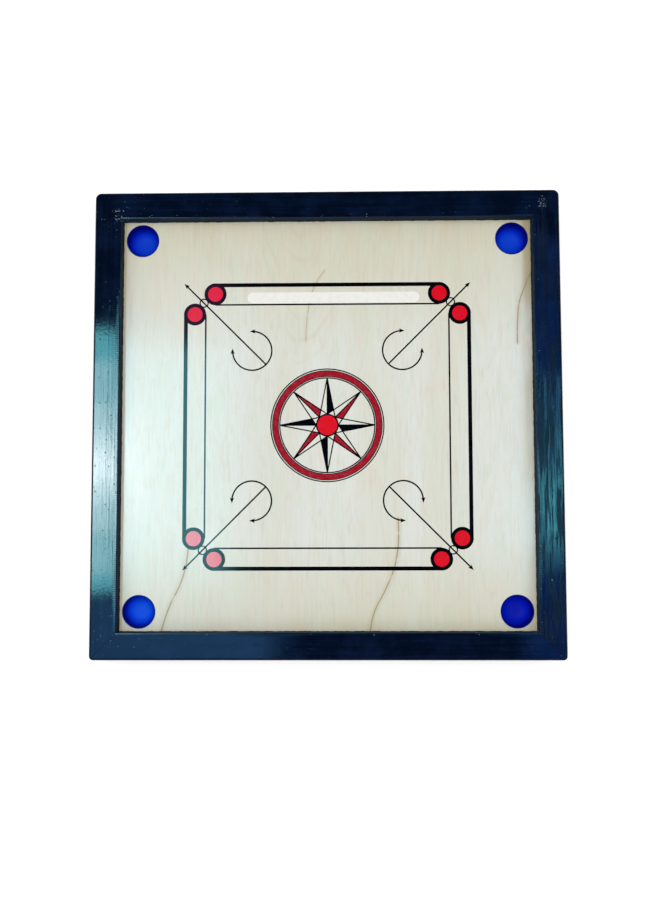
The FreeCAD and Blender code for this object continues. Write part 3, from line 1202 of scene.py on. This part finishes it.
@dataclass
class BaseLines:
    """The four pairs of base lines with a red base circle at each end."""

    sizes: BoardSizes
    thick_offset: float = 202.2 * MM
    thick_width: float = 5.6 * MM
    thin_offset: float = 173.7 * MM
    thin_width: float = 2.3 * MM
    circle_along: float = 160.0 * MM
    circle_offset: float = 189.2 * MM
    circle_radius: float = 15.9 * MM
    disc_radius: float = 10.6 * MM
    disc_overlap: float = 0.2 * MM
    strip_start: float = -114.0 * MM
    strip_end: float = 132.0 * MM
    strip_offset: float = 183.6 * MM
    strip_width: float = 15.6 * MM
    strip_steps: int = 16

    def build(self) -> None:
        """Prints the lines, the circles, the discs and the bare strip."""
        black = Print(self.sizes, BLACK)
        ends = (-self.circle_along, self.circle_along)
        for name, offset, width in (
            ("base_lines_thick", self.thick_offset, self.thick_width),
            ("base_lines_thin", self.thin_offset, self.thin_width),
        ):
            black.strokes(name, [[(x, offset) for x in ends]], width, False, SIDES)
        ring_width = self.circle_radius - self.disc_radius
        middle = self.circle_radius - ring_width / 2
        rings = [circle_points((x, self.circle_offset), middle) for x in ends]
        over = Print(self.sizes, BLACK, layer=2)
        over.strokes("base_circles", rings, ring_width, True, SIDES)
        red = Print(self.sizes, RED, layer=3)
        discs = [circle_points((x, self.circle_offset), self.disc_radius + self.disc_overlap) for x in ends]
        red.plates("base_discs", discs, SIDES)
        cream = Print(self.sizes, CREAM)
        cream.plates("bare_strip", [self.strip_outline()], 1)

    def strip_outline(self) -> list[Point]:
        """The pale strip's outline, round at both ends.

        Returns:
            The outline's points, in order.
        """
        radius = self.strip_width / 2
        quarter = math.pi / 2
        middle = (self.strip_end - radius, self.strip_offset)
        right = arc_points(middle, radius, -quarter, quarter, self.strip_steps)
        middle = (self.strip_start + radius, self.strip_offset)
        return right + arc_points(middle, radius, quarter, 3 * quarter, self.strip_steps)


@dataclass
class CornerArrows:
    """The diagonal arrow, its small circle and the turning arc in each corner."""

    sizes: BoardSizes
    line_width: float = 2.2 * MM
    line_tip: float = 204.6 * MM
    line_end: float = 87.6 * MM
    small_circle: float = 176.3 * MM
    small_radius: float = 5.8 * MM
    small_stroke: float = 1.8 * MM
    small_steps: int = 40
    arc_centre: float = 107.0 * MM
    arc_radius: float = 28.0 * MM
    arc_stroke: float = 2.2 * MM
    arc_steps: int = 56
    head_length: float = 8.0 * MM
    head_width: float = 6.3 * MM
    head_notch: float = 1.6 * MM
    arc_head_reach: float = 3.5 * MM
    head_cover: float = 0.6

    def build(self) -> None:
        """Prints the arrows of all four corners."""
        black = Print(self.sizes, BLACK)
        diagonal = math.radians(45)
        shaft_tip = self.line_tip - self.head_length * self.head_cover * math.cos(diagonal)
        shaft = [(shaft_tip, shaft_tip), (self.line_end, self.line_end)]
        black.strokes("diagonal_lines", [shaft], self.line_width, False, SIDES)
        small = circle_points((self.small_circle, self.small_circle), self.small_radius, self.small_steps)
        black.strokes("corner_circles", [small], self.small_stroke, True, SIDES)
        centre = (self.arc_centre, self.arc_centre)
        arc = arc_points(centre, self.arc_radius, math.radians(90), math.radians(360), self.arc_steps)
        black.strokes("turning_arcs", [arc], self.arc_stroke, False, SIDES)
        black.plates("arrowheads", self.heads(diagonal), SIDES)

    def heads(self, diagonal: float) -> list[list[Point]]:
        """The outlines of one corner's three arrowheads.

        Args:
            diagonal: The direction of the corner, in radians.

        Returns:
            The diagonal line's head and the two of the arc.
        """
        shape = {"length": self.head_length, "width": self.head_width, "notch": self.head_notch}
        reach = self.arc_head_reach
        on_top = (self.arc_centre + reach, self.arc_centre + self.arc_radius)
        on_side = (self.arc_centre + self.arc_radius, self.arc_centre + reach)
        return [
            arrowhead((self.line_tip, self.line_tip), diagonal, **shape),
            arrowhead(on_top, 0.0, **shape),
            arrowhead(on_side, math.pi / 2, **shape),
        ]


@dataclass
class CentreRosette:
    """The eight-rayed star in its red ring, round the centre disc."""

    sizes: BoardSizes
    outer_line: float = 80.2 * MM
    red_inner: float = 69.3 * MM
    red_outer: float = 77.9 * MM
    inner_line: float = 67.4 * MM
    line_width: float = 1.7 * MM
    keyline: float = 1.0 * MM
    ray_tip: float = 67.6 * MM
    ray_slope: float = 0.196
    disc_radius: float = 14.3 * MM
    disc_line: float = 2.0 * MM
    rays: int = 8
    ring_steps: int = 144
    disc_steps: int = 96

    def ring(self, radius: float) -> list[Point]:
        """Points round a large circle about the centre."""
        return circle_points(CENTRE, radius, self.ring_steps)

    def edge_end(self) -> Point:
        """Where a ray's right-hand edge meets the line round the disc.

        Returns:
            The point.
        """
        reach = self.disc_radius + self.disc_line / 2
        squared = 1 + self.ray_slope**2
        half = self.ray_slope**2 * self.ray_tip / squared
        inside = half**2 - (self.ray_slope**2 * self.ray_tip**2 - reach**2) / squared
        y = half + math.sqrt(inside)
        return (self.ray_slope * (self.ray_tip - y), y)

    def filled_half(self) -> list[Point]:
        """The clockwise half of the ray that points back, down to its neighbour's near edge.

        Returns:
            The outline's points, in order.
        """
        turn = math.tau / self.rays
        tip = Vector((math.sin(turn), math.cos(turn))) * self.ray_tip
        edge_turn = turn + math.atan(self.ray_slope)
        along = Vector((math.sin(edge_turn), math.cos(edge_turn)))
        on_axis = tip.y - tip.x * along.y / along.x
        slope = along.y / along.x
        x = self.ray_slope * (self.ray_tip - on_axis) / (1 + slope * self.ray_slope)
        return [(0.0, self.ray_tip), (0.0, on_axis), (x, on_axis + slope * x)]

    def build(self) -> None:
        """Prints the rings, the rays and the disc."""
        black = Print(self.sizes, BLACK, layer=2)
        lines = {"rosette_outer_line": self.outer_line, "rosette_inner_line": self.inner_line}
        for name, radius in lines.items():
            black.strokes(name, [self.ring(radius)], self.line_width, True, 1)
        keylines = [self.ring(radius) for radius in (self.red_inner, self.red_outer)]
        black.strokes("ring_keylines", keylines, self.keyline, True, 1)
        deep = Print(self.sizes, RING_RED)
        middle = (self.red_inner + self.red_outer) / 2
        width = self.red_outer - self.red_inner
        deep.strokes("rosette_red_ring", [self.ring(middle)], width, True, 1)
        right_end = self.edge_end()
        tip = (0.0, self.ray_tip)
        outlines = [[tip, right_end], [tip, (-right_end[0], right_end[1])], [tip, (0.0, right_end[1])]]
        black.strokes("ray_outlines", outlines, self.line_width, False, self.rays)
        half = self.filled_half()
        Print(self.sizes, BLACK).plates("black_half_rays", [half], self.rays // 2)
        cos = math.cos(math.tau / self.rays)
        sin = math.sin(math.tau / self.rays)
        spun = [(x * cos + y * sin, y * cos - x * sin) for x, y in half]
        Print(self.sizes, RING_RED).plates("red_half_rays", [spun], self.rays // 2)
        disc = [circle_points(CENTRE, self.disc_radius, self.disc_steps)]
        Print(self.sizes, RED, layer=3).plates("centre_disc", disc, 1)
        rim = Print(self.sizes, BLACK, layer=4)
        outline = [circle_points(CENTRE, self.disc_radius + self.disc_line / 2, self.disc_steps)]
        rim.strokes("centre_disc_line", outline, self.disc_line, True, 1)


# ---- Paint work on the frame -------------------------------------------------------------------
@dataclass
class PaintWork:
    """The enamel's thick places: beads along the cushions' feet, and dust nibs."""

    sizes: BoardSizes
    bead_step: float = 1.5 * MM
    bead_thin: float = 0.15 * MM
    bead_thick: float = 0.75 * MM
    bead_wander: float = 150.0
    nib_density: float = 2600.0
    nib_smallest: float = 0.15 * MM
    nib_largest: float = 0.8 * MM
    nib_flatness: float = 0.45
    nib_seed: int = 7
    nibs_from_field: float = 3 * MM
    nibs_from_edge: float = 4 * MM

    def build(self) -> None:
        """Makes the beads and the nibs."""
        along_x = Enamel(self.sizes, Axis.ALONG_X).material()
        self.beads(along_x)
        self.nibs(along_x)

    def beads(self, paint: Material) -> None:
        """Lays the paint that crept onto the playing surface along each cushion.

        Args:
            paint: The enamel that the beads are made of.
        """
        seed = paths_mesh("paint_beads", [square_points(self.sizes.field_half)], True)
        seed.transform(Matrix.Translation((0, 0, self.sizes.field_z)))
        piece = grown(
            bead_tree(),
            "paint_beads",
            seed,
            Step=self.bead_step,
            Thin=self.bead_thin,
            Thick=self.bead_thick,
            Wander=self.bead_wander,
            Material=paint,
        )
        piece.data.shade_smooth()
        settle(piece)

    def nibs(self, paint: Material) -> None:
        """Scatters dust nibs over the rails' tops.

        Args:
            paint: The enamel that covers the nibs.
        """
        inner = self.sizes.field_half + self.nibs_from_field
        outer = self.sizes.outer_half - self.nibs_from_edge
        top = self.sizes.rail_top
        corners = square_points(outer) + square_points(inner)
        vertices = [(x, y, top) for x, y in corners]
        ends = [(side, (side + 1) % SIDES) for side in range(SIDES)]
        faces = [(start, end, end + SIDES, start + SIDES) for start, end in ends]
        seed = bpy.data.meshes.new("dust_nibs")
        seed.from_pydata(vertices, [], faces)
        piece = grown(
            nib_tree(),
            "dust_nibs",
            seed,
            Density=self.nib_density,
            Smallest=self.nib_smallest,
            Largest=self.nib_largest,
            Flatness=self.nib_flatness,
            Seed=self.nib_seed,
            Material=paint,
        )
        piece.data.shade_smooth()
        settle(piece)


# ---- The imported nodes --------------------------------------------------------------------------
@dataclass
class ModelFinishes:
    """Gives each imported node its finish."""

    sizes: BoardSizes
    timber_along_x: tuple[str, ...] = ("ledger_front", "ledger_back", "batten_crosswise")
    # How pale each cup's blue is, from 0 to 1.
    paleness: tuple[tuple[str, float], ...] = (
        ("front_left", 0.9),
        ("front_right", 0.0),
        ("back_left", 0.4),
        ("back_right", 0.5),
    )

    def finish_for(self, node: str) -> Material:
        """Picks a node's material by its name.

        Args:
            node: The node's name.

        Returns:
            The material.
        """
        if node.startswith(("rail_front", "rail_back")):
            return Enamel(self.sizes, Axis.ALONG_X).material()
        if node.startswith(("rail", "frame_nails")):
            return Enamel(self.sizes, Axis.ALONG_Y).material()
        if node == "playing_panel":
            return LacqueredPly(self.sizes).material()
        for corner, share in self.paleness:
            if node == "pocket_cup_" + corner:
                return MouldedPlastic(self.sizes, "pocket_plastic_blue_" + corner, share).material()
        if node.startswith(("ledger_screws", "pocket_screws", "lap_screw")):
            return PlatedSteel().material()
        grain = Axis.ALONG_X if node.startswith(self.timber_along_x) else Axis.ALONG_Y
        return PlanedTimber(grain).material()

    def build(self) -> None:
        """Dresses every node."""
        for name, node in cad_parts.items():
            material = self.finish_for(name)
            for place in node.material_slots:
                place.material = material
            LOG.info("%s: %s", name, material.name)


# ---- Studio ------------------------------------------------------------------------------------
@dataclass(frozen=True)
class SoftLamp:
    """A rectangular lamp that hangs over the board.

    Attributes:
        name: The lamp's name.
        place: Its middle, in metres.
        size: Its length in X and Y.
        brightness: How bright its face is, where 1 is paper white.
        colour: Its colour.
        only_reflected: Whether it shows in gloss alone.
    """

    name: str
    place: tuple[float, float, float]
    size: Point
    brightness: float
    colour: tuple[float, float, float] = (1.0, 1.0, 1.0)
    only_reflected: bool = False

    def build(self) -> None:
        """Hangs the lamp, facing down or towards the board's centre."""
        data = bpy.data.lights.new(self.name, "AREA")
        data.shape = "RECTANGLE"
        data.size, data.size_y = self.size
        data.energy = self.brightness * math.pi * self.size[0] * self.size[1]
        data.color = self.colour
        lamp = placed(self.name, data)
        lamp.location = self.place
        if self.only_reflected:
            lamp.visible_diffuse = False
            lamp.visible_transmission = False
        else:
            to_centre = -Vector(self.place)
            lamp.rotation_euler = to_centre.to_track_quat("-Z", "Y").to_euler()
            lamp.visible_glossy = False
        lamp.visible_camera = False


@dataclass(frozen=True)
class LampStack:
    """Lamps that show in gloss alone, each shorter than the last, so that their glare fades out.

    Attributes:
        name: The stack's name.
        place: The middle of the longest, in metres.
        size: The length of the longest in X and Y.
        brightness: How bright they are where all of them overlap, where 1 is paper white.
        colour: Their colour.
        steps: Number of lamps.
        ratio: Length of each in Y against the one before.
        focus: The place in Y that they close in on.
    """

    name: str
    place: tuple[float, float, float]
    size: Point
    brightness: float
    colour: tuple[float, float, float]
    steps: int = 1
    ratio: float = 0.6
    focus: float = 0.0

    def lamps(self) -> Iterable[SoftLamp]:
        """Yields the lamps, longest first, each just under the one before.

        Returns:
            The lamps.
        """
        x, y, z = self.place
        for step in range(self.steps):
            share = self.ratio**step
            place = (x, self.focus + (y - self.focus) * share, z - step * MM)
            size = (self.size[0], self.size[1] * share)
            name = f"{self.name}_{step}"
            yield SoftLamp(name, place, size, self.brightness / self.steps, self.colour, only_reflected=True)


@dataclass
class Studio:
    """A white floor, even soft light and the window that shows in the left rail's gloss."""

    ambient: float = 0.42
    ceiling: Colour = (0.004, 0.01, 0.025, 1.0)
    paper: Colour = (0.72, 0.72, 0.72, 1.0)
    floor_side: float = 14.0
    floor_glow: float = 0.5
    lamps: tuple[SoftLamp, ...] = (
        SoftLamp("overhead", (0.0, 0.0, 2.6), (1.8, 1.8), brightness=2.95),
        SoftLamp("fill_left", (-1.6, 0.3, 1.7), (1.2, 1.2), brightness=1.6),
        SoftLamp("fill_right", (1.6, 0.5, 1.7), (1.2, 1.2), brightness=1.6),
        SoftLamp("fill_front", (0.2, -1.8, 1.9), (1.2, 1.2), brightness=1.3),
    )
    stacks: tuple[LampStack, ...] = (
        LampStack("window", (-0.706, 0.0415, 1.45), (0.198, 0.737), 13.8, (0.22, 0.87, 1.0)),
        LampStack(
            "window_sky",
            place=(-0.706, 0.02, 1.449),
            size=(0.198, 0.6),
            brightness=25.5,
            colour=(1.0, 0.94, 0.92),
            steps=5,
            focus=0.019,
        ),
        LampStack("curtain", (-0.465, 0.025, 1.45), (0.3, 0.69), 6.5, (0.26, 0.88, 1.0)),
        LampStack("curtain_back", (-0.385, 0.49, 1.45), (0.15, 0.17), 0.8, (0.9, 0.34, 1.0)),
        LampStack(
            "sky_front_left",
            place=(-0.47, -0.46, 1.45),
            size=(0.6, 0.3),
            brightness=2.5,
            colour=(0.13, 0.44, 1.0),
            steps=2,
            ratio=0.8,
            focus=-0.55,
        ),
        LampStack("sky_right", (0.6, 0.05, 1.45), (0.16, 1.2), 1.6, (0.04, 0.2, 1.0)),
        LampStack(
            "doorway_right",
            place=(0.6, 0.0, 1.449),
            size=(0.11, 0.54),
            brightness=10.5,
            colour=(0.2, 0.93, 1.0),
            steps=4,
            ratio=0.62,
            focus=-0.15,
        ),
    )

    def build(self) -> None:
        """Makes the world, the floor and the lamps."""
        self.world()
        self.floor()
        glares = [lamp for stack in self.stacks for lamp in stack.lamps()]
        for lamp in (*self.lamps, *glares):
            lamp.build()
        LOG.info("studio: %d lamps", len(self.lamps) + len(glares))

    def world(self) -> None:
        """Even light all round; gloss shows a pale horizon under a dark ceiling."""
        world = bpy.data.worlds.new("studio")
        world.use_nodes = True
        tree = Tree(world.node_tree)
        direction = tree.add("ShaderNodeTexCoord").outputs["Generated"]
        height = tree.add("ShaderNodeSeparateXYZ", {0: direction}).outputs[2]
        mirrored = tree.tint(height, ((0.1, WHITE), (0.55, self.ceiling)))
        even = tree.made("ShaderNodeBackground", {"Color": WHITE, "Strength": self.ambient})
        seen = tree.made("ShaderNodeBackground", {"Color": mirrored, "Strength": 1.0})
        mixed = tree.made("ShaderNodeMixShader", {0: tree.seen_directly(), 1: even, 2: seen})
        tree.add("ShaderNodeOutputWorld", {"Surface": mixed})
        bpy.context.scene.world = world

    def floor(self) -> None:
        """A pale floor that turns white away from the board's shadow."""
        mesh = bpy.data.meshes.new("floor")
        corners = [(x, y, 0) for x, y in square_points(self.floor_side / 2)]
        mesh.from_pydata(corners, [], [range(SIDES)])
        floor = placed("floor", mesh)
        material = bpy.data.materials.new("studio_floor")
        material.use_nodes = True
        tree = Tree(material.node_tree)
        paper = tree.made("ShaderNodeBsdfDiffuse", {"Color": self.paper})
        strength = tree.times(tree.seen_directly(), self.floor_glow)
        glow = tree.made("ShaderNodeEmission", {"Color": WHITE, "Strength": strength})
        both = tree.made("ShaderNodeAddShader", {0: paper, 1: glow})
        tree.add("ShaderNodeOutputMaterial", {"Surface": both})
        mesh.materials.append(material)


@dataclass
class Viewpoint:
    """A hand-held camera almost straight above the board."""

    sizes: BoardSizes
    lens: float = 40.0
    right: float = 0.0305
    forward: float = -0.1436
    above_rails: float = 1.3918
    aim_right: float = 0.0045
    aim_forward: float = -0.0396
    roll: float = 0.0023

    def build(self) -> None:
        """Makes the camera and hands it to the scene."""
        data = bpy.data.cameras.new("camera")
        data.lens = self.lens
        data.sensor_fit = "AUTO"
        camera = placed("camera", data)
        top = self.sizes.rail_top
        place = Vector((self.right, self.forward, top + self.above_rails))
        ahead = (Vector((self.aim_right, self.aim_forward, top)) - place).normalized()
        right = ahead.cross(Vector((self.roll, 1.0, 0.0))).normalized()
        up = right.cross(ahead)
        turn = Matrix((right, up, -ahead)).transposed()
        camera.matrix_world = Matrix.Translation(place) @ turn.to_4x4()
        bpy.context.scene.camera = camera


def main() -> None:
    """Dresses the board and sets up the studio."""
    logging.basicConfig(level=logging.INFO, format="%(name)s: %(message)s")
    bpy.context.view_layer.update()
    sizes = BoardSizes.from_model()
    ModelFinishes(sizes).build()
    for assembly in (BaseLines, CornerArrows, CentreRosette, PaintWork, Viewpoint):
        assembly(sizes).build()
    Studio().build()
    bpy.context.scene.view_settings.view_transform = "Standard"


if __name__ == "__main__":
    main()
